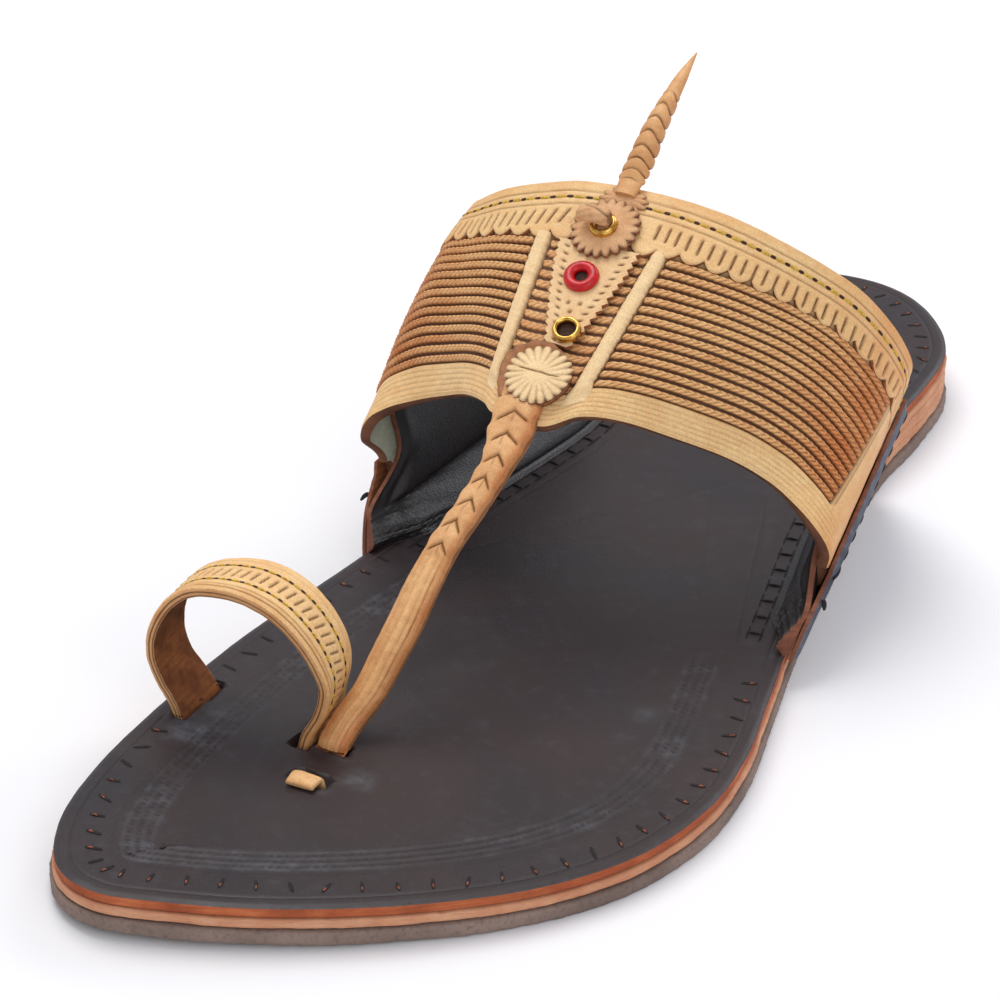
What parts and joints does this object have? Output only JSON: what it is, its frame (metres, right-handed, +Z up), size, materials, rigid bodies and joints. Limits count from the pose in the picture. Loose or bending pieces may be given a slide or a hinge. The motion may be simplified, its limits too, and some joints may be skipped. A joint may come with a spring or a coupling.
{
  "type": "kolhapuri sandal",
  "caption": "Flat leather sandal for the left foot: braided instep band, strap that enters the sole between the toes, big-toe loop, rising braided tail, side ears, stacked sole.",
  "frame": {"origin": "on the floor plane, on the rubber's flat underside at mid-length of the sole", "axes": "+Y from toe to heel, +Z up, -X towards the medial side of the left foot"},
  "size_m": [0.1081, 0.2818, 0.101],
  "materials": {
    "grey_brown_rubber": "matte, cut edge rough",
    "stacked_sole_leather": "vegetable tanned, raw cut edge",
    "dark_satin_leather": "dark brown-black, satin",
    "blue_black_leather": "blue-black, satin, fine grain",
    "cream_leather": "vegetable tanned, cream to tan",
    "tan_leather": "vegetable tanned, tan",
    "red_lacquer": "gloss red lacquer",
    "brass": "polished"
  },
  "bodies": {
    "root": {"outsole": "grey_brown_rubber", "midsole": "stacked_sole_leather", "heel_lift": "stacked_sole_leather", "insole": "dark_satin_leather", "ear_medial": "blue_black_leather", "ear_lateral": "blue_black_leather", "upper": "cream_leather", "toe_loop": "cream_leather", "strap_tail": "cream_leather", "centre_panel": "cream_leather", "rosette_top": "tan_leather", "leaf": "tan_leather", "rosette_front": "cream_leather", "eyelet_red": "red_lacquer", "eyelet_brass": "brass", "stud_ring": "brass", "knot": "tan_leather", "spike": "cream_leather"}
  },
  "joints": []
}
